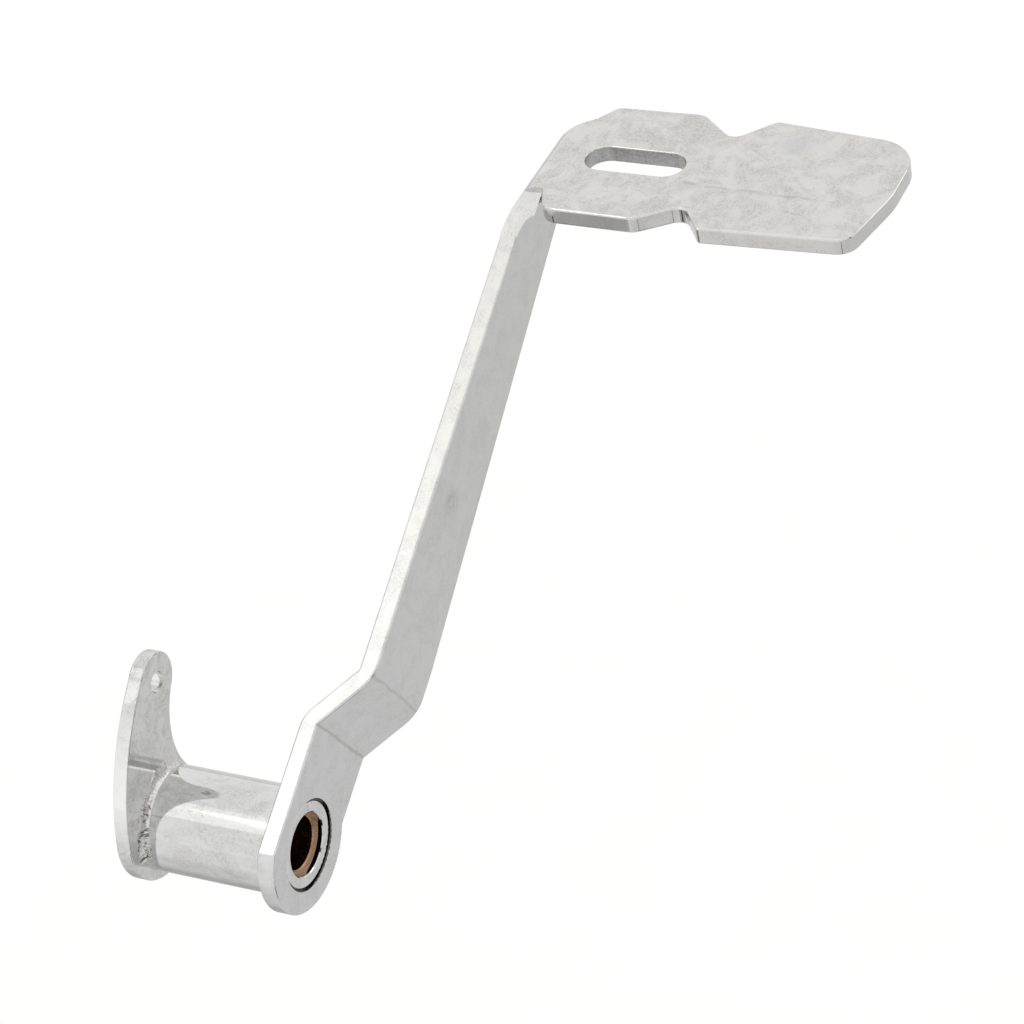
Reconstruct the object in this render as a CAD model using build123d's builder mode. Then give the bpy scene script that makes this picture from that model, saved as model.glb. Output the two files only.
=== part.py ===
"""Rear brake pedal arm of a motorcycle, lengths in mm.

Frame: origin on the pivot axis, in the middle of the hub. X runs forward,
Z up (square to the pad plate), Y runs inboard along the pivot.
"""
import os
from math import cos, radians, sin, sqrt

from build123d import *

os.makedirs("parts", exist_ok=True)

# sheet steel, tube and bushing sizes
SHEET_T = 5.6             # arm and pad plate
LEVER_T = 4.5             # push-rod lever
TUBE_R = 15.875           # 1 1/4 in tube
BORE_R = 9.525            # 3/4 in
BUSH_R = 7.9375           # 5/8 in shaft
BUSH_LEN = 19.05
BUSH_INSET = 2.3          # bushing end below the spigot face
HUB_LEN = 50.0            # eye face to the lever's far face
SPIGOT_R = 13.0
SPIGOT_RECESS = 0.7       # spigot faces sit below the plates they pass through
GROOVE_R = 13.7           # relief round the spigot in the outer plate faces
GROOVE_DEPTH = 1.8

# arm, seen along the pivot axis
ARM_ANGLE = 26.5          # rise of the rear edge
EYE_R = 20.5
REAR_V = 18.2             # rear edge, square distance from the pivot
FRONT_V = -16.4           # front edge near the pivot
TAPER_START = (63.0, -16.4)
TAPER_END = (197.5, -5.5)
BAR_X = (175.0, 210.7)    # bar width where it turns into the plate

# jog, seen edge-on
JOG_ANGLE = 30.0          # the creases are square to this line
JOG_START, JOG_END = 31.6, 47.9
JOG_OUT = 12.7            # the bar steps outboard by this

# bend into the pad plate
TOP_Z = 109.7             # upper face of the pad plate
BEND_R = 9.0              # outer radius
CORNER_ANGLE = 38.5       # the front corner of the bend is trimmed at this slant
EDGE_R = 0.7              # polished edges
SLOT_EDGE_R = 0.5

# pad plate, seen from above
SLOT_X, SLOT_Y = 193.0, -64.4
SLOT_R = 6.05
SLOT_LEN = 32.0

# push-rod lever, seen along the pivot axis
PIN_X, PIN_Z = 11.6, 43.1
PIN_HOLE_R = 3.2
WELD_ON_LEVER, WELD_ON_TUBE = 3.9, 1.7
WELD_FROM, WELD_TO = 183, 56     # from the rear, over the top, degrees
LEVER_EDGE_R = 0.5

EYE_Y = -HUB_LEN / 2              # outboard face of the eye
IN_FACE = SHEET_T - JOG_OUT       # inboard face of the bar, from the eye's outboard face
BEND_Y = EYE_Y + IN_FACE - BEND_R   # here the plate becomes flat
BEND_Z = TOP_Z - BEND_R           # here the bar stops being flat
LEVER_Y = HUB_LEN / 2 - LEVER_T   # outboard face of the lever


def on_side(u, v):
    """Side view point, u along the rear edge and v square to it, as X and Z."""
    a = radians(ARM_ANGLE)
    return u * cos(a) - v * sin(a), u * sin(a) + v * cos(a)


def side_plane(y):
    """Sketch plane square to the pivot, drawn in X and Z, facing outboard."""
    return Plane(origin=(0, y, 0), x_dir=(1, 0, 0), z_dir=(0, -1, 0))


def round_corner(sketch, x, y, radius):
    fillet(sketch.vertices().sort_by_distance((x, y, 0))[0], radius)


# ------------------------------------------------------------------ pedal arm
def jogged_strip():
    """Edge-on strip: flat eye, jog outboard, flat bar."""
    rise = JOG_OUT / (JOG_END - JOG_START)
    lag = SHEET_T * (sqrt(1 + rise * rise) - 1) / rise
    a = radians(JOG_ANGLE)
    edge_on = Plane(origin=(0, EYE_Y, 0), x_dir=(cos(a), 0, sin(a)),
                    z_dir=(-sin(a), 0, cos(a)))
    with BuildPart() as strip:
        with BuildSketch(edge_on) as profile:
            with BuildLine():
                Polyline((-30, 0), (JOG_START, 0), (JOG_END, -JOG_OUT), (260, -JOG_OUT),
                         (260, IN_FACE), (JOG_END + lag, IN_FACE),
                         (JOG_START + lag, SHEET_T), (-30, SHEET_T), close=True)
            make_face()
            round_corner(profile, JOG_START, 0, 0.8)
            round_corner(profile, JOG_END, -JOG_OUT, 14.0)
            round_corner(profile, JOG_END + lag, IN_FACE, 2.0)
            round_corner(profile, JOG_START + lag, SHEET_T, 10.0)
        extrude(amount=120, both=True)
    return strip


def bend_strip():
    """The quarter bend from the bar into the plate."""
    with BuildPart() as bend:
        with BuildSketch(Plane.YZ.offset(150)):
            with Locations((BEND_Y, BEND_Z)):
                Circle(BEND_R)
                Circle(BEND_R - SHEET_T, mode=Mode.SUBTRACT)
            with Locations((BEND_Y, BEND_Z)):
                Rectangle(40, 40, align=(Align.MAX, Align.CENTER), mode=Mode.SUBTRACT)
                Rectangle(40, 40, align=(Align.CENTER, Align.MAX), mode=Mode.SUBTRACT)
        extrude(amount=80)
    return bend


def side_outline():
    """Outline of eye and bar, seen along the pivot, as a long prism."""
    def edge_v(x):
        a = radians(ARM_ANGLE)
        u = (x + REAR_V * sin(a)) / cos(a)
        return on_side(u, REAR_V)

    start = (-sqrt(EYE_R ** 2 - REAR_V ** 2), REAR_V)
    end = (sqrt(EYE_R ** 2 - FRONT_V ** 2), FRONT_V)
    ax, az = on_side(*TAPER_START)
    bx, bz = on_side(*TAPER_END)
    front_z = bz + (BAR_X[1] - bx) * (bz - az) / (bx - ax)
    with BuildPart() as prism:
        with BuildSketch(side_plane(0)):
            with BuildLine():
                ThreePointArc(on_side(*start), on_side(-EYE_R, 0), on_side(0, -EYE_R))
                ThreePointArc(on_side(0, -EYE_R), on_side(6.5, -sqrt(EYE_R ** 2 - 6.5 ** 2)),
                              on_side(*end))
                Polyline(on_side(*end), (ax, az), (BAR_X[1], front_z), (BAR_X[1], 130),
                         (BAR_X[0], 130), edge_v(BAR_X[0]), on_side(*start))
            make_face()
        extrude(amount=60)
    return prism


def pad_plate():
    """Flat pad plate with a waist on both sides and the slot."""
    with BuildPart() as plate:
        with BuildSketch(Plane.XY.offset(TOP_Z - SHEET_T)) as outline:
            with BuildLine():
                Polyline((BAR_X[1], BEND_Y), (212.8, -43.8), (219.4, -48.2), (220.1, -76.4),
                         (209.3, -89.3), (220.4, -99.6), (215.8, -146.8), (190, -146.8),
                         (166.2, -141.6), (163.9, -95.4), (174.1, -87.8), (165.1, -74.6),
                         (165.3, -45.6), (BAR_X[0], -41.6), (BAR_X[0], BEND_Y), close=True)
            make_face()
            round_corner(outline, 212.8, -43.8, 3.0)
            round_corner(outline, 219.4, -48.2, 3.5)
            round_corner(outline, 220.1, -76.4, 5.5)
            round_corner(outline, 209.3, -89.3, 4.0)
            round_corner(outline, 220.4, -99.6, 3.0)
            round_corner(outline, 215.8, -146.8, 14.0)
            round_corner(outline, 190, -146.8, 30.0)
            round_corner(outline, 166.2, -141.6, 6.5)
            round_corner(outline, 163.9, -95.4, 1.5)
            round_corner(outline, 174.1, -87.8, 4.0)
            round_corner(outline, 165.1, -74.6, 6.0)
            round_corner(outline, 165.3, -45.6, 5.0)
            with Locations((SLOT_X, SLOT_Y)):
                SlotOverall(SLOT_LEN, 2 * SLOT_R, rotation=90, mode=Mode.SUBTRACT)
        extrude(amount=SHEET_T)
    return plate


def at_level(edge, z):
    box = edge.bounding_box()
    return abs(box.min.Z - z) < 0.01 and abs(box.max.Z - z) < 0.01


def runs_along_arm(edge):
    """The long edges of the bar and the round end of the eye."""
    if edge.geom_type == GeomType.CIRCLE:
        return abs(edge.radius - EYE_R) < 0.01
    a = radians(ARM_ANGLE + 2)
    way = edge.tangent_at(0.5)
    straight = edge.geom_type == GeomType.LINE and edge.length > 11
    return straight and abs(way.X * cos(a) + way.Z * sin(a)) > 0.98


def at_rear(edge):
    """Above the line from the hub along the bar."""
    a = radians(ARM_ANGLE + 2)
    return edge.center().Z * cos(a) - edge.center().X * sin(a) > 10


def in_slot(edge):
    spot = edge.center()
    return abs(spot.X - SLOT_X) < SLOT_R + 2 and abs(spot.Y - SLOT_Y) < SLOT_LEN / 2 + 2


def pedal_arm():
    slant = radians(CORNER_ANGLE)
    corner = Plane(origin=(BAR_X[1], BEND_Y, 0), z_dir=(cos(slant), sin(slant), 0))
    with BuildPart() as lower:
        add(jogged_strip())
        add(side_outline(), mode=Mode.INTERSECT)
        with Locations((0, 0, BEND_Z)):
            Box(600, 300, 300, align=(Align.CENTER, Align.CENTER, Align.MIN), mode=Mode.SUBTRACT)
        split(bisect_by=corner, keep=Keep.BOTTOM)
        fillet(lower.edges().filter_by(runs_along_arm).filter_by(at_rear), EDGE_R)
    with BuildPart() as upper:
        add(bend_strip())
        add(side_outline(), mode=Mode.INTERSECT)
        split(bisect_by=corner, keep=Keep.BOTTOM)
    with BuildPart() as arm:
        add(lower)
        add(upper)
        add(pad_plate())
        with BuildSketch(side_plane(EYE_Y + SHEET_T)):
            Circle(SPIGOT_R)
        extrude(amount=SHEET_T, mode=Mode.SUBTRACT)
        with BuildSketch(side_plane(EYE_Y + GROOVE_DEPTH)):
            Circle(GROOVE_R)
        extrude(amount=GROOVE_DEPTH, mode=Mode.SUBTRACT)
        for z, clear_of_bend in ((TOP_Z, BEND_Y - 0.9), (TOP_Z - SHEET_T, BEND_Y - 3.1)):
            rim = arm.edges().filter_by(lambda e: at_level(e, z) and e.center().Y < clear_of_bend)
            fillet(rim.filter_by(lambda e: not in_slot(e)), EDGE_R)
            fillet(arm.edges().filter_by(lambda e: at_level(e, z) and in_slot(e)), SLOT_EDGE_R)
        front = arm.edges().filter_by(runs_along_arm).filter_by(lambda e: not at_rear(e))
        fillet(front, EDGE_R)
    return arm


arm = pedal_arm()
arm.part.label = "pedal_arm"
export_step(arm.part, "parts/pedal_arm.step")


# ----------------------------------------------------------------- pivot tube
def pivot_tube():
    """Tube with a turned-down spigot at each end, bored right through."""
    near, far = EYE_Y + SPIGOT_RECESS, HUB_LEN / 2 - SPIGOT_RECESS
    shoulder = EYE_Y + SHEET_T
    with BuildPart() as tube:
        with BuildSketch(Plane.XY):
            with BuildLine():
                Polyline((BORE_R, near), (SPIGOT_R, near), (SPIGOT_R, shoulder),
                         (TUBE_R, shoulder), (TUBE_R, LEVER_Y), (SPIGOT_R, LEVER_Y),
                         (SPIGOT_R, far), (BORE_R, far), close=True)
            make_face()
        revolve(axis=Axis.Y)
        mouths = tube.edges().filter_by(GeomType.CIRCLE)
        chamfer(mouths.sort_by(Axis.Y)[:2] + mouths.sort_by(Axis.Y)[-2:], 0.3)
    return tube


tube = pivot_tube()
tube.part.label = "pivot_tube"
export_step(tube.part, "parts/pivot_tube.step")


# ------------------------------------------------------------- push-rod lever
def on_outline(edge):
    """Not one of the two round holes."""
    return edge.radius not in (PIN_HOLE_R, SPIGOT_R)


def push_rod_lever():
    with BuildPart() as lever:
        with BuildSketch(side_plane(HUB_LEN / 2)):
            with BuildLine():
                ThreePointArc((18.4, 37.4), (14.7, 51.5), (4.9, 48.9))
                ThreePointArc((4.9, 48.9), (-11.0, 32.7), (-22.4, 6.5))
                ThreePointArc((-22.4, 6.5), (-18.4, -8.0), (-7.4, -15.0))
                ThreePointArc((-7.4, -15.0), (10.7, -12.9), (16.7, 1.0))
                ThreePointArc((16.7, 1.0), (16.1, 4.3), (14.7, 7.1))
                ThreePointArc((14.7, 7.1), (11.3, 21.0), (18.4, 37.4))
            make_face()
            with Locations((PIN_X, PIN_Z)):
                Circle(PIN_HOLE_R, mode=Mode.SUBTRACT)
            Circle(SPIGOT_R, mode=Mode.SUBTRACT)
        extrude(amount=LEVER_T)
        outline = lever.edges().filter_by(GeomType.CIRCLE).filter_by(on_outline)
        fillet(outline, LEVER_EDGE_R)
        with BuildSketch(side_plane(HUB_LEN / 2)):
            Circle(GROOVE_R)
        extrude(amount=GROOVE_DEPTH, mode=Mode.SUBTRACT)
    return lever


lever = push_rod_lever()
lever.part.label = "push_rod_lever"
export_step(lever.part, "parts/push_rod_lever.step")


def weld_fillet():
    """Dressed weld in the corner between tube and lever, over the top only."""
    far = TUBE_R + WELD_ON_LEVER
    near = LEVER_Y - WELD_ON_TUBE
    a = radians(WELD_FROM)
    start = Plane(origin=(0, 0, 0), x_dir=(cos(a), 0, sin(a)), z_dir=(-sin(a), 0, cos(a)))
    with BuildPart() as weld:
        with BuildSketch(start):
            with BuildLine():
                Line((TUBE_R, LEVER_Y), (TUBE_R, near))
                ThreePointArc((TUBE_R, near),
                              (TUBE_R + 0.35 * WELD_ON_LEVER, LEVER_Y - 0.35 * WELD_ON_TUBE),
                              (far, LEVER_Y))
                Line((far, LEVER_Y), (TUBE_R, LEVER_Y))
            make_face()
        revolve(axis=Axis.Y, revolution_arc=WELD_FROM - WELD_TO)
    return weld


# ------------------------------------------------------------------- bushings
def bushing(start):
    with BuildPart() as bush:
        with BuildSketch(Plane.XZ.offset(-start)):
            Circle(BORE_R)
            Circle(BUSH_R, mode=Mode.SUBTRACT)
        extrude(amount=-BUSH_LEN)
        chamfer(bush.edges().filter_by(GeomType.CIRCLE).filter_by(lambda e: e.radius < 8.5), 0.4)
    return bush


outboard = bushing(EYE_Y + SPIGOT_RECESS + BUSH_INSET)
outboard.part.label = "outboard_bushing"
export_step(outboard.part, "parts/outboard_bushing.step")

inboard = bushing(HUB_LEN / 2 - SPIGOT_RECESS - BUSH_INSET - BUSH_LEN)
inboard.part.label = "inboard_bushing"
export_step(inboard.part, "parts/inboard_bushing.step")

weld = weld_fillet()
weld.part.label = "lever_weld"
export_step(weld.part, "parts/lever_weld.step")

for piece in (arm, tube, lever, outboard, inboard, weld):
    box = piece.part.bounding_box()
    print(piece.part.label, len(piece.part.solids()), [round(c, 1) for c in (*box.min, *box.max)])
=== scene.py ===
"""Looks of the rear brake pedal arm: plated steel and bronze in a white studio."""
import math

import bpy
from mathutils import Matrix, Vector


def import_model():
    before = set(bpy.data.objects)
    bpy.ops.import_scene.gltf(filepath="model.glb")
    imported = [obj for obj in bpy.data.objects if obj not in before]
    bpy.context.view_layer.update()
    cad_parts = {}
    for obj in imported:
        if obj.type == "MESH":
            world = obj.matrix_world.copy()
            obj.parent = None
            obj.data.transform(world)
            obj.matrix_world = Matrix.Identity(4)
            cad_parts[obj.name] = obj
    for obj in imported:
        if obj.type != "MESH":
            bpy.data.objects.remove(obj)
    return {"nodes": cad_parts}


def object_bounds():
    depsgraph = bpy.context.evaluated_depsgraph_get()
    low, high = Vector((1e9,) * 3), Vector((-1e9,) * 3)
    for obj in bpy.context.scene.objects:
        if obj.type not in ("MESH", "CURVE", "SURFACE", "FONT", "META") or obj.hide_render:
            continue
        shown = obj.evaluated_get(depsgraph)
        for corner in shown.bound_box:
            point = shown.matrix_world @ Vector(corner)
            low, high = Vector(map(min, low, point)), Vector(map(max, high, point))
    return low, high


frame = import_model()
cad_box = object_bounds()
nodes = frame["nodes"]
MM = 0.001
TUBE_R = 15.875 * MM   # the pivot tube, about Y


# ------------------------------------------------------------------ node helpers
class Nodes:
    """A material's node tree, with short ways to add nodes and join them."""

    def __init__(self, name):
        self.material = bpy.data.materials.new(name)
        self.material.use_nodes = True
        self.tree = self.material.node_tree
        self.shader = self.tree.nodes["Principled BSDF"]
        coordinates = self.add("ShaderNodeTexCoord")
        self.place = coordinates.outputs["Object"]
        self.faces = coordinates.outputs["Normal"]

    def add(self, kind, **settings):
        node = self.tree.nodes.new(kind)
        for key, value in settings.items():
            setattr(node, key, value)
        return node

    def join(self, source, target):
        self.tree.links.new(source, target)

    def along(self, vector, way):
        """How far vector reaches along the unit vector way."""
        node = self.add("ShaderNodeVectorMath", operation="DOT_PRODUCT")
        self.join(vector, node.inputs[0])
        node.inputs[1].default_value = way
        return node.outputs["Value"]

    def stretched(self, scale, turn, place):
        """place, turned, in millimetres, divided by scale."""
        node = self.add("ShaderNodeMapping")
        node.inputs["Rotation"].default_value = turn
        node.inputs["Scale"].default_value = [1 / (MM * s) for s in scale]
        self.join(place, node.inputs["Vector"])
        return node.outputs["Vector"]

    def rolled_out(self):
        """The object's coordinates rolled out round Y: arc, along the axis, from the axis."""
        split = self.add("ShaderNodeSeparateXYZ")
        self.join(self.place, split.inputs[0])
        x, y, z = split.outputs
        arc = self.product(self.maths("ARCTAN2", z, x), TUBE_R)
        squares = self.total(self.maths("POWER", x, 2.0), self.maths("POWER", z, 2.0))
        reach = self.maths("POWER", squares, 0.5)
        joined = self.add("ShaderNodeCombineXYZ")
        for value, socket in zip((arc, y, reach), joined.inputs):
            self.join(value, socket)
        return joined.outputs[0]

    def distance(self, point):
        """How far the surface is from a point given in millimetres, in metres."""
        node = self.add("ShaderNodeVectorMath", operation="DISTANCE")
        self.join(self.place, node.inputs[0])
        node.inputs[1].default_value = point * MM
        return node.outputs["Value"]

    def within(self, centre, half):
        """1 inside a box given in millimetres, else 0."""
        shift = self.add("ShaderNodeVectorMath", operation="SUBTRACT")
        self.join(self.place, shift.inputs[0])
        shift.inputs[1].default_value = centre * MM
        split = self.add("ShaderNodeSeparateXYZ")
        self.join(shift.outputs[0], split.inputs[0])
        inside = 1.0
        for value, reach in zip(split.outputs, half):
            near = self.maths("LESS_THAN", self.magnitude(value), reach * MM)
            inside = self.product(near, inside)
        return inside

    def noise(self, size, detail=3.0, rough=0.5, twist=0.0, turn=(0, 0, 0), around=False):
        """Noise whose features are about size millimetres, all ways or along X, Y and Z."""
        sizes = size if isinstance(size, tuple) else (size,) * 3
        node = self.add("ShaderNodeTexNoise")
        self.join(self.stretched(sizes, turn, self.rolled_out() if around else self.place),
                  node.inputs["Vector"])
        node.inputs["Scale"].default_value = 1.0
        node.inputs["Detail"].default_value = detail
        node.inputs["Roughness"].default_value = rough
        node.inputs["Distortion"].default_value = twist
        return node.outputs["Fac"]

    def clouds(self, size):
        """Soft patches of haze."""
        return self.noise(size, detail=5.0, rough=0.62, twist=0.8)

    def veins(self, size, width):
        """Thin winding lines, 1 along a line's middle; width is a share of the noise."""
        marble = self.noise(size, detail=6.0, rough=0.62, twist=2.6)
        off = self.magnitude(self.maths("SUBTRACT", marble, 0.5))
        return self.spread(off, 0.0, width, 1.0, 0.0)

    def spread(self, value, low, high, to_low, to_high):
        """value, taken from low..high to to_low..to_high and held there."""
        node = self.add("ShaderNodeMapRange", interpolation_type="SMOOTHSTEP")
        self.join(value, node.inputs["Value"])
        for key, number in (("From Min", low), ("From Max", high),
                            ("To Min", to_low), ("To Max", to_high)):
            node.inputs[key].default_value = number
        return node.outputs["Result"]

    def maths(self, operation, a, b):
        node = self.add("ShaderNodeMath", operation=operation)
        for socket, value in zip(node.inputs, (a, b)):
            if isinstance(value, (int, float)):
                socket.default_value = value
            else:
                self.join(value, socket)
        return node.outputs["Value"]

    def magnitude(self, value):
        return self.maths("ABSOLUTE", value, 0.0)

    def product(self, first, *others):
        for value in others:
            first = self.maths("MULTIPLY", first, value)
        return first

    def total(self, first, *others):
        for value in others:
            first = self.maths("ADD", first, value)
        return first

    def blend(self, share, low, high):
        """A colour between low and high."""
        node = self.add("ShaderNodeMix", data_type="RGBA")
        self.join(share, node.inputs["Factor"])
        for socket, value in ((node.inputs["A"], low), (node.inputs["B"], high)):
            if isinstance(value, tuple):
                socket.default_value = (*value, 1)
            else:
                self.join(value, socket)
        return node.outputs["Result"]

    def bump(self, height, depth, onto=None):
        """Relief of depth millimetres over the whole range of height."""
        node = self.add("ShaderNodeBump")
        node.inputs["Strength"].default_value = 1.0
        node.inputs["Distance"].default_value = depth * MM
        self.join(height, node.inputs["Height"])
        if onto is not None:
            self.join(onto, node.inputs["Normal"])
        return node.outputs["Normal"]

    def finish(self, colour, roughness, normal):
        self.shader.inputs["Metallic"].default_value = 1.0
        self.join(colour, self.shader.inputs["Base Color"])
        self.join(roughness, self.shader.inputs["Roughness"])
        self.join(normal, self.shader.inputs["Normal"])
        return self.material


# --------------------------------------------------------------------- materials
# Colours of the metal.
CHROME = (0.668, 0.660, 0.638)
CHROME_COOL = (0.668, 0.672, 0.672)      # at the hub
CHROME_HAZED = (0.612, 0.608, 0.592)
# Veins and marks in the plating, and also the painted shade in the jog's creases.
CHROME_VEIN_AND_CREASE_SHADE = (0.40, 0.385, 0.36)
CHROME_HIGHLIGHT_PAINT = (0.86, 0.86, 0.845)      # painted highlight on the rear edges
SIDE_SHADE_PAINT = (0.52, 0.53, 0.53)                # painted shade on the faces turned sideways
SMUDGE = (0.52, 0.53, 0.56)
STAIN = (0.36, 0.36, 0.31)
SLOT_SHADE_GREY = (0.35, 0.35, 0.355)         # painted shade on the unpolished wall of the slot
RELIEF_SHADE_PAINT = (0.10, 0.10, 0.10)          # painted shade in the relief round the tube's end
# painted dark reflection in the weld's ripples
WELD_DARK_REFLECTION = (0.07, 0.07, 0.08)
BRONZE = (0.30, 0.165, 0.095)
# painted highlight on the bushings' ends
BRONZE_END_HIGHLIGHT = (0.42, 0.25, 0.15)
BRONZE_OILED = (0.060, 0.030, 0.018)

# Directions on the arm.
ARM_SLANT = math.radians(26.5)           # the bar's rise, forward and up
JOG_SLANT = math.radians(30)             # square to the jog's creases
REAR_NORMAL = (-math.sin(ARM_SLANT), 0, math.cos(ARM_SLANT))
REAR_RUN = (math.cos(ARM_SLANT), 0, math.sin(ARM_SLANT))
JOG_RUN = (math.cos(JOG_SLANT), 0, math.sin(JOG_SLANT))
SIDEWAYS, UP, BACK, FORWARD = (0, 1, 0), (0, 0, 1), (-1, 0, 0), (1, 0, 0)

# Places of the marks, in millimetres.
JOG_CREASE_SHADES = ((31.6, 0.75), (48.6, 0.5))     # painted shade in the jog's creases: where along JOG_RUN, and how dark
SCORE_ACROSS, SCORE_FROM_HUB = (0.9996, -0.0286, 0), 187.3    # a line along the pad plate
SCORE_AT, SCORE_HALF = Vector((185, -107, 109.7)), Vector((6, 24, 0.3))
SMUDGE_AT = Vector((209, -110, 109.7))
STAIN_AT = Vector((94, -37.7, 53.6))
SLOT_AT, SLOT_HALF = Vector((193.0, -64.4, 106.6)), Vector((6.4, 16.4, 2.6))
GROOVE_AT, GROOVE_REACH = Vector((0, -23.4, 0)), 13.76

SHEET_VEINS = ((2.2, 0.028), (5.0, 0.020))    # size in millimetres, and width
WAVINESS = 0.011                         # millimetres of relief left in polished sheet


def plated(n, base, clouds_size=9.0, strength=1.0):
    """Colour, roughness and relief of plate over polished sheet."""
    clouds = n.clouds(clouds_size)
    vein = 0.0
    for size, width in SHEET_VEINS:
        vein = n.maths("MAXIMUM", n.veins(size, width), vein)
    vein = n.product(vein, n.spread(clouds, 0.38, 0.62, 0.10, 0.90), strength)
    fleck = n.spread(n.noise(0.8, detail=2.0), 0.27, 0.34, 0.65, 0.0)
    haze = n.product(n.spread(clouds, 0.36, 0.66, 0.0, 0.9), strength)
    colour = n.blend(haze, base, CHROME_HAZED)
    colour = n.blend(n.maths("MAXIMUM", vein, fleck), colour, CHROME_VEIN_AND_CREASE_SHADE)
    roughness = n.total(n.spread(clouds, 0.35, 0.7, 0.05, 0.10), n.product(vein, 0.08))
    waves = n.noise(8, detail=4.0, rough=0.5)
    grain = n.noise(1.2, detail=3.0, rough=0.6)
    normal = n.bump(grain, WAVINESS * 0.22, n.bump(waves, WAVINESS * 1.5))
    return colour, roughness, normal


def lever_chrome(name):
    """Polished sheet, with a painted highlight on the rear edge above the hub."""
    n = Nodes(name)
    colour, roughness, normal = plated(n, CHROME_COOL, clouds_size=5.0)
    # Painted highlight: faces turned to the rear, above the hub, are coloured brighter.
    rear = n.spread(n.along(n.faces, BACK), 0.6, 0.9, 0.0, 0.8)
    above = n.spread(n.along(n.place, UP), 6 * MM, 22 * MM, 0.0, 1.0)
    colour = n.blend(n.product(rear, above), colour, CHROME_HIGHLIGHT_PAINT)
    return n.finish(colour, roughness, normal)


def rear_edge_painted_highlight(n, up_bar, colour, normal):
    """Painted highlight on the arm's rear edge, most of all near the hub."""
    # Painted highlight: faces turned to the rear are coloured brighter.
    rear = n.spread(n.along(n.faces, REAR_NORMAL), 0.90, 0.995, 0.0, 1.0)
    at_hub = n.spread(up_bar, 4 * MM, 24 * MM, 0.85, 0.40)
    at_top = n.spread(up_bar, 90 * MM, 160 * MM, 1.0, 0.8)
    colour = n.blend(n.product(rear, at_hub, at_top), colour, CHROME_HIGHLIGHT_PAINT)
    strokes = n.noise((0.5, 9, 5), detail=3.0, rough=0.7, turn=(0.5, 0.3, 0.9))
    return colour, n.bump(n.product(strokes, rear), 0.006, normal)


def jog_crease_shade(n, side, wander, colour, normal):
    """Painted shade: a dark line across the side where the jog starts and where it ends."""
    run = n.total(n.along(n.place, JOG_RUN), wander)
    for at, dark in JOG_CREASE_SHADES:
        off = n.magnitude(n.maths("SUBTRACT", run, at * MM))
        # Painted shade along each crease, with a slight dent in the relief.
        crease_shade = n.product(n.spread(off, 0.12 * MM, 0.7 * MM, dark, 0.0), side)
        colour = n.blend(crease_shade, colour, CHROME_VEIN_AND_CREASE_SHADE)
        normal = n.bump(n.product(crease_shade, -1.0), 0.05, normal)
    return colour, normal


def marked_plate(n, wander, colour):
    """A scored line and a smudge on the pad plate."""
    across = n.total(n.along(n.place, SCORE_ACROSS), -SCORE_FROM_HUB * MM, wander)
    line = n.spread(n.magnitude(across), 0.1 * MM, 0.9 * MM, 1.0, 0.0)
    worn = n.spread(n.noise(4, detail=4.0), 0.35, 0.6, 0.1, 0.5)
    colour = n.blend(n.product(line, n.within(SCORE_AT, SCORE_HALF), worn), colour, CHROME_VEIN_AND_CREASE_SHADE)
    smudge = n.spread(n.distance(SMUDGE_AT), 1 * MM, 8.5 * MM, 0.35, 0.0)
    return n.blend(smudge, colour, SMUDGE)


def stain_and_side_shade(n, up_bar, side, wander, colour):
    """A stain on the bar's flat side, and painted shade on the faces turned sideways, a little
    darker above a step.
    """
    worn = n.spread(n.noise(1.6, detail=5.0, rough=0.7), 0.4, 0.56, 0.1, 0.9)
    stain = n.spread(n.distance(STAIN_AT), 0.5 * MM, 6.2 * MM, 0.9, 0.0)
    colour = n.blend(n.product(stain, worn), colour, STAIN)
    # Painted shade: faces turned sideways are coloured darker, more so above the step.
    side_shade = n.spread(n.total(up_bar, wander), 98 * MM, 101 * MM, 0.30, 0.38)
    return n.blend(n.product(side_shade, side), colour, SIDE_SHADE_PAINT)


def shaded_cut_slot(n, colour, roughness, normal):
    """The wall of the slot, left rough as it was cut, with painted shade on it."""
    inside = n.within(SLOT_AT, SLOT_HALF)
    scale = n.noise(0.7, detail=4.0, rough=0.7)
    # Painted shade inside the slot; the roughness and relief are the wall as cut.
    slot_shade = n.product(inside, n.spread(scale, 0.35, 0.65, 0.9, 0.25))
    colour = n.blend(slot_shade, colour, SLOT_SHADE_GREY)
    roughness = n.total(roughness, n.product(inside, 0.25))
    return colour, roughness, n.bump(n.product(scale, inside), 0.08, normal)


def arm_chrome(name):
    """Polished sheet with its marks, painted highlight and painted shade, cooler near the hub
    and more veined on the plate.
    """
    n = Nodes(name)
    up_bar = n.along(n.place, REAR_RUN)
    side = n.spread(n.magnitude(n.along(n.faces, SIDEWAYS)), 0.5, 0.7, 0.0, 1.0)
    wander = n.spread(n.noise(7, detail=5.0, rough=0.6), 0.3, 0.7, -0.4 * MM, 0.4 * MM)
    base = n.blend(n.spread(up_bar, 30 * MM, 100 * MM, 0.0, 1.0), CHROME_COOL, CHROME)
    on_plate = n.spread(n.along(n.faces, UP), 0.5, 0.8, 0.6, 1.1)
    colour, roughness, normal = plated(n, base, strength=on_plate)
    colour, normal = rear_edge_painted_highlight(n, up_bar, colour, normal)
    colour, normal = jog_crease_shade(n, side, wander, colour, normal)
    colour = marked_plate(n, wander, colour)
    colour = stain_and_side_shade(n, up_bar, side, wander, colour)
    # Painted shade in the relief round the tube's end.
    groove_shade = n.maths("LESS_THAN", n.distance(GROOVE_AT), GROOVE_REACH * MM)
    colour = n.blend(n.product(groove_shade, 0.85), colour, RELIEF_SHADE_PAINT)
    return n.finish(*shaded_cut_slot(n, colour, roughness, normal))


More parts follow.
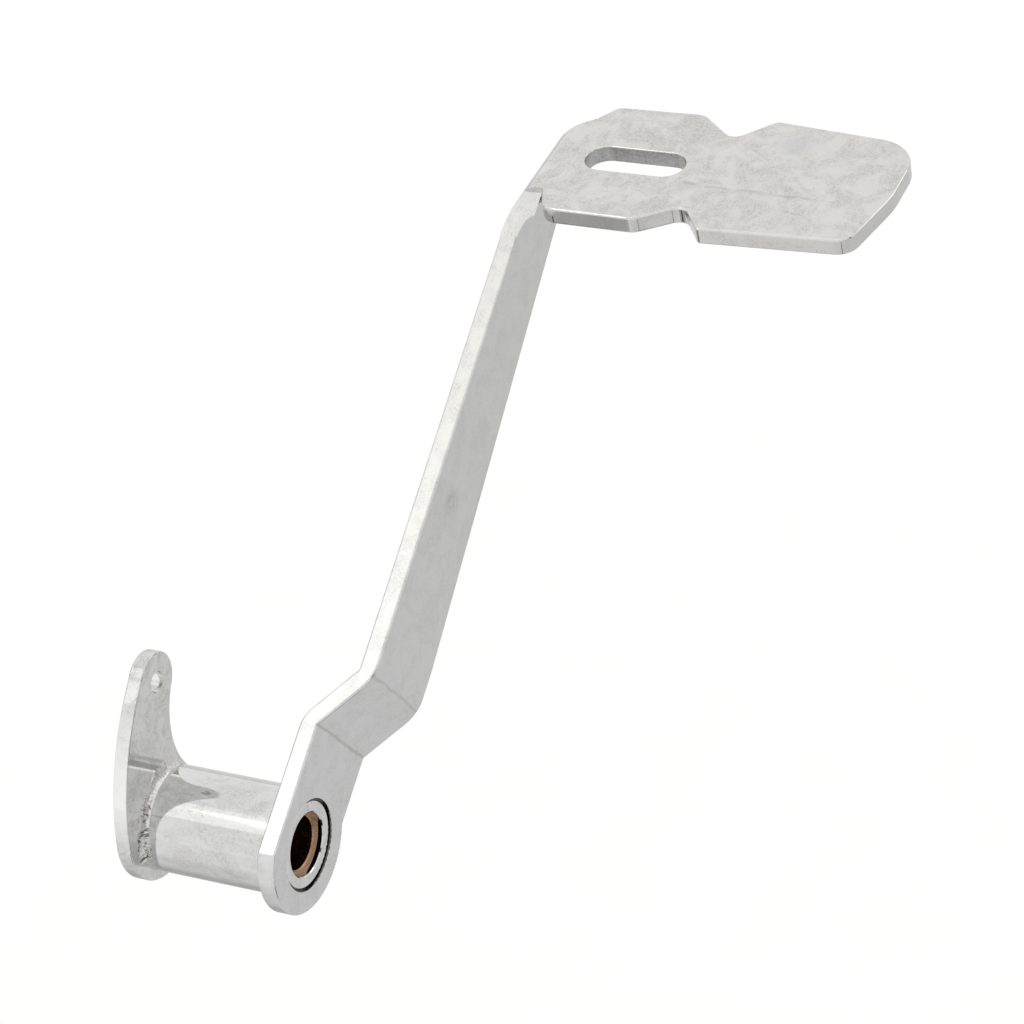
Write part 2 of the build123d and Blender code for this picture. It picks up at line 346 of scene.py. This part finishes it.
def turned_chrome(name):
    """Plate over a turned tube: faint rings round it and long soft clouds."""
    n = Nodes(name)
    clouds = n.clouds((7, 12, 7))
    vein = n.product(n.veins((2.6, 4, 2.6), 0.03), n.spread(clouds, 0.4, 0.62, 0.12, 0.8))
    rings = n.noise((60, 0.35, 60), detail=2.0, rough=0.6)
    colour = n.blend(n.spread(clouds, 0.36, 0.68, 0.0, 1.0), CHROME_COOL, CHROME_HAZED)
    colour = n.blend(vein, colour, CHROME_VEIN_AND_CREASE_SHADE)
    roughness = n.spread(clouds, 0.35, 0.7, 0.045, 0.10)
    waves = n.noise((6, 9, 6), detail=3.0, rough=0.5)
    normal = n.bump(rings, 0.0006, n.bump(waves, 0.008))
    return n.finish(colour, roughness, normal)


def weld_chrome(name):
    """Plate over a weld run round the tube: ripples across it, pits, and painted dark
    reflections in the ripples to the rear.
    """
    n = Nodes(name)
    ripples = n.noise((0.9, 4, 4), detail=3.0, rough=0.55, twist=0.5, around=True)
    lumps = n.noise(3.0, detail=2.0, rough=0.5)
    pits = n.noise(0.8, detail=2.0, rough=0.6)
    colour = n.blend(n.spread(pits, 0.30, 0.40, 0.8, 0.0), CHROME, CHROME_VEIN_AND_CREASE_SHADE)
    rear = n.spread(n.along(n.place, FORWARD), -16.5 * MM, -8 * MM, 1.0, 0.1)
    # Painted reflection: dark streaks in the ripples on the weld's rear side.
    dark_reflection = n.product(n.spread(ripples, 0.38, 0.47, 0.9, 0.0), rear)
    colour = n.blend(dark_reflection, colour, WELD_DARK_REFLECTION)
    roughness = n.spread(lumps, 0.35, 0.7, 0.05, 0.12)
    normal = n.bump(ripples, 0.24, n.bump(lumps, 0.20))
    return n.finish(colour, roughness, normal)


def oiled_bronze(name):
    """Sintered bronze: dark with oil inside, speckled, with a painted highlight on the ends."""
    n = Nodes(name)
    speckle = n.noise(0.5, detail=4.0, rough=0.7)
    oil = n.noise((5, 3, 5), detail=3.0, rough=0.5)
    colour = n.blend(n.spread(oil, 0.35, 0.65, 0.45, 0.9), BRONZE, BRONZE_OILED)
    # Painted highlight: faces turned sideways, the ends, are coloured brighter.
    end_highlight = n.spread(n.magnitude(n.along(n.faces, SIDEWAYS)), 0.3, 0.6, 0.0, 0.9)
    colour = n.blend(end_highlight, colour, BRONZE_END_HIGHLIGHT)
    colour = n.blend(n.spread(speckle, 0.34, 0.44, 0.7, 0.0), colour, BRONZE_OILED)
    roughness = n.spread(speckle, 0.3, 0.7, 0.24, 0.42)
    rings = n.noise((60, 0.25, 60), detail=2.0, rough=0.6)
    normal = n.bump(speckle, 0.015, n.bump(rings, 0.006))
    return n.finish(colour, roughness, normal)


def give(node, material):
    """Cover a node of the part with one material."""
    o = nodes[node]
    o.data.materials.clear()
    o.data.materials.append(material)


give("pedal_arm", arm_chrome("arm_plating"))
give("push_rod_lever", lever_chrome("lever_plating"))
give("pivot_tube", turned_chrome("tube_plating"))
give("lever_weld", weld_chrome("weld_plating"))
bronze = oiled_bronze("bushing_bronze")
give("outboard_bushing", bronze)
give("inboard_bushing", bronze)


# ------------------------------------------------------------------------ studio
# Lengths are in metres.
FLOOR_DROP, FLOOR_SIZE = 0.40, 16.0
SEEN_IN_PLATING = 8.0                    # the side of the floor that the plating reflects
ABOVE_FLOOR = 0.01
FLOOR_LIGHT, SHADE_LIGHT, REAR_LIGHT = 0.80, 0.50, 1.0
SHADE_AT = Vector((100, 215, 0))         # in millimetres, beyond the hub
SHADE_FROM, SHADE_REACH = 0.05, 0.30
ROOM_LIGHT = 1.05
PAPER_DARK, PAPER_PALE = (0.93, 0.93, 0.925), (0.96, 0.96, 0.955)
CARD_TINT = (1, 1, 0.985)


def direction(azimuth, elevation):
    """Unit vector, azimuth from +X towards +Y, in degrees."""
    a, e = math.radians(azimuth), math.radians(elevation)
    return Vector((math.cos(a) * math.cos(e), math.sin(a) * math.cos(e), math.sin(e)))


def glow(name, low, high, half):
    """Light that goes from low to high across a card that reaches half each way."""
    material = bpy.data.materials.new(name)
    material.use_nodes = True
    tree = material.node_tree
    tree.nodes.clear()
    light = tree.nodes.new("ShaderNodeEmission")
    light.inputs["Color"].default_value = (*CARD_TINT, 1)
    place = tree.nodes.new("ShaderNodeTexCoord")
    split = tree.nodes.new("ShaderNodeSeparateXYZ")
    tree.links.new(place.outputs["Object"], split.inputs[0])
    ramp = tree.nodes.new("ShaderNodeMapRange")
    for key, number in (("From Min", -half), ("From Max", half),
                        ("To Min", low), ("To Max", high)):
        ramp.inputs[key].default_value = number
    tree.links.new(split.outputs["X"], ramp.inputs["Value"])
    tree.links.new(ramp.outputs["Result"], light.inputs["Strength"])
    out = tree.nodes.new("ShaderNodeOutputMaterial")
    tree.links.new(light.outputs["Emission"], out.inputs["Surface"])
    return material


def reflected_only(o):
    """Show o in reflections and nowhere else."""
    o.visible_camera = False
    o.visible_diffuse = False
    o.visible_shadow = False


def sheet(name, width, height):
    """A flat rectangle about the origin, facing up."""
    mesh = bpy.data.meshes.new(name)
    x, y = width / 2, height / 2
    mesh.from_pydata([(-x, -y, 0), (x, -y, 0), (x, y, 0), (-x, y, 0)], [], [(0, 1, 2, 3)])
    o = bpy.data.objects.new(name, mesh)
    bpy.context.scene.collection.objects.link(o)
    return o


def card(name, way, distance, width, height, low, high=None):
    """A card that faces the hub, its width as near to world X as it can be."""
    o = sheet(name, width, height)
    way = way.normalized()
    across = (Vector((1, 0, 0)) - way * way.x).normalized()
    turn = Matrix((across, way.cross(across), way)).transposed().to_4x4()
    o.matrix_world = Matrix.Translation(way * distance) @ turn
    o.data.materials.append(glow(name, low, low if high is None else high, width / 2))
    reflected_only(o)


def floor():
    """White paper under the part."""
    o = sheet("floor", FLOOR_SIZE, FLOOR_SIZE)
    o.location.z = cad_box[0].z - FLOOR_DROP
    n = Nodes("floor_paper")
    fibre = n.noise(40, detail=4.0)
    n.join(n.blend(fibre, PAPER_DARK, PAPER_PALE), n.shader.inputs["Base Color"])
    n.shader.inputs["Roughness"].default_value = 0.9
    o.data.materials.append(n.material)


def floor_as_reflected():
    """What the plating sees of the floor: greyer, shaded beyond the hub, lighter to the rear."""
    o = sheet("floor_reflected", SEEN_IN_PLATING, SEEN_IN_PLATING)
    o.location.z = cad_box[0].z - FLOOR_DROP + ABOVE_FLOOR
    n = Nodes("floor_reflected")
    shade = n.spread(n.distance(SHADE_AT), SHADE_FROM, SHADE_REACH,
                     SHADE_LIGHT - FLOOR_LIGHT, 0.0)
    rear = n.spread(n.along(n.place, direction(148, 0)), 0.30, 0.85, FLOOR_LIGHT, REAR_LIGHT)
    light = n.add("ShaderNodeEmission")
    light.inputs["Color"].default_value = (1, 1, 1, 1)
    n.join(n.total(rear, shade), light.inputs["Strength"])
    n.join(light.outputs["Emission"], n.tree.nodes["Material Output"].inputs["Surface"])
    o.data.materials.append(n.material)
    reflected_only(o)


def world(brightness):
    """An evenly white room."""
    w = bpy.data.worlds.new("studio")
    bpy.context.scene.world = w
    w.use_nodes = True
    back = w.node_tree.nodes["Background"]
    back.inputs["Color"].default_value = (1, 1, 1, 1)
    back.inputs["Strength"].default_value = brightness


world(ROOM_LIGHT)
floor()
floor_as_reflected()

# Lights over the tube, the plate and the arm's rear edge.
card("overhead_softbox", Vector((-0.33, 0.52, 0.80)),
     distance=3.0, width=1.62, height=0.66, low=1.30)
card("overhead_strip", Vector((-0.068, 0.385, 0.915)),
     distance=2.98, width=0.63, height=0.44, low=1.45, high=1.14)
card("rim_light", Vector((-0.42, 0.395, 0.815)),
     distance=2.96, width=1.50, height=0.30, low=1.8, high=3.2)
card("end_light", Vector((0.66, -0.62, 0.41)),
     distance=3.0, width=1.0, height=1.0, low=1.9)

# Dark things that the bore, the weld and the flat sides mirror.
card("camera_side_dark", direction(-148, 39), distance=1.6, width=0.16, height=0.16, low=0.0)
card("floor_dark_near", direction(-122, -39), distance=0.54, width=0.17, height=0.17, low=0.02)
card("flag_near", direction(-100, 8), distance=2.0, width=0.45, height=1.3, low=0.12)
card("flag_far", direction(84, 8), distance=2.0, width=0.35, height=1.0, low=0.15)


# ------------------------------------------------------------------------ camera
LENS, SENSOR = 123.05, 36.0
CAMERA_AT = Vector((-581.08, -474.45, 688.55)) * MM
# The camera's axes: from the part's rear outboard side, looking down, slightly rolled.
RIGHT = Vector((0.40094, -0.90103, -0.16554))
DOWN = Vector((-0.63115, -0.14070, -0.76279))
AHEAD = Vector((0.66400, 0.41031, -0.62509))


def camera():
    """The photograph's camera."""
    data = bpy.data.cameras.new("camera")
    data.lens, data.sensor_width = LENS, SENSOR
    o = bpy.data.objects.new("camera", data)
    bpy.context.scene.collection.objects.link(o)
    turn = Matrix((RIGHT, -DOWN, -AHEAD)).transposed().to_4x4()
    o.matrix_world = Matrix.Translation(CAMERA_AT) @ turn
    bpy.context.scene.camera = o


camera()
bpy.context.scene.view_settings.view_transform = "Standard"
